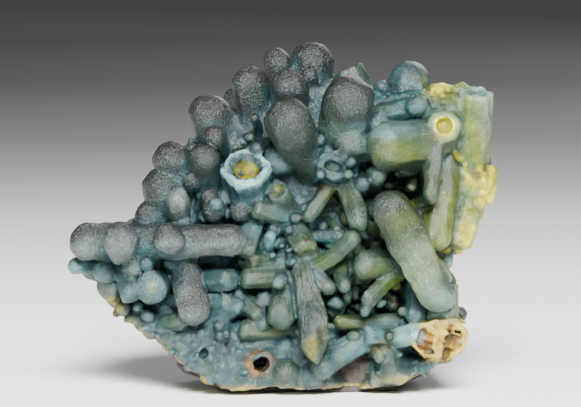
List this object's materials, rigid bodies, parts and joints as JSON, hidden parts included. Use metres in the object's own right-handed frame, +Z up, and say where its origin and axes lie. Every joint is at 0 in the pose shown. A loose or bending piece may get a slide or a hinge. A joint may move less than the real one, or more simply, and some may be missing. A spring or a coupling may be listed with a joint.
{
  "type": "plumbogummite mineral specimen",
  "caption": "Cabinet specimen of waxy blue-grey to yellow-green club-shaped crystals grown over a dark iron-stained host rock, standing on its flat foot.",
  "frame": {"origin": "centre of the specimen's box at the level of the table it stands on", "axes": "+Z up, -Y toward the viewer of the crystal face, +X to the right of that face"},
  "size_m": [0.0718, 0.0388, 0.0578],
  "materials": {
    "host_rock": "rough broken rock, dark brown-grey with rust stains",
    "crystal_crust": "waxy, slightly translucent crystals, blue-grey to yellow-green"
  },
  "bodies": {
    "root": {"host_rock": "host_rock", "crystal_crust": "crystal_crust"}
  },
  "joints": []
}
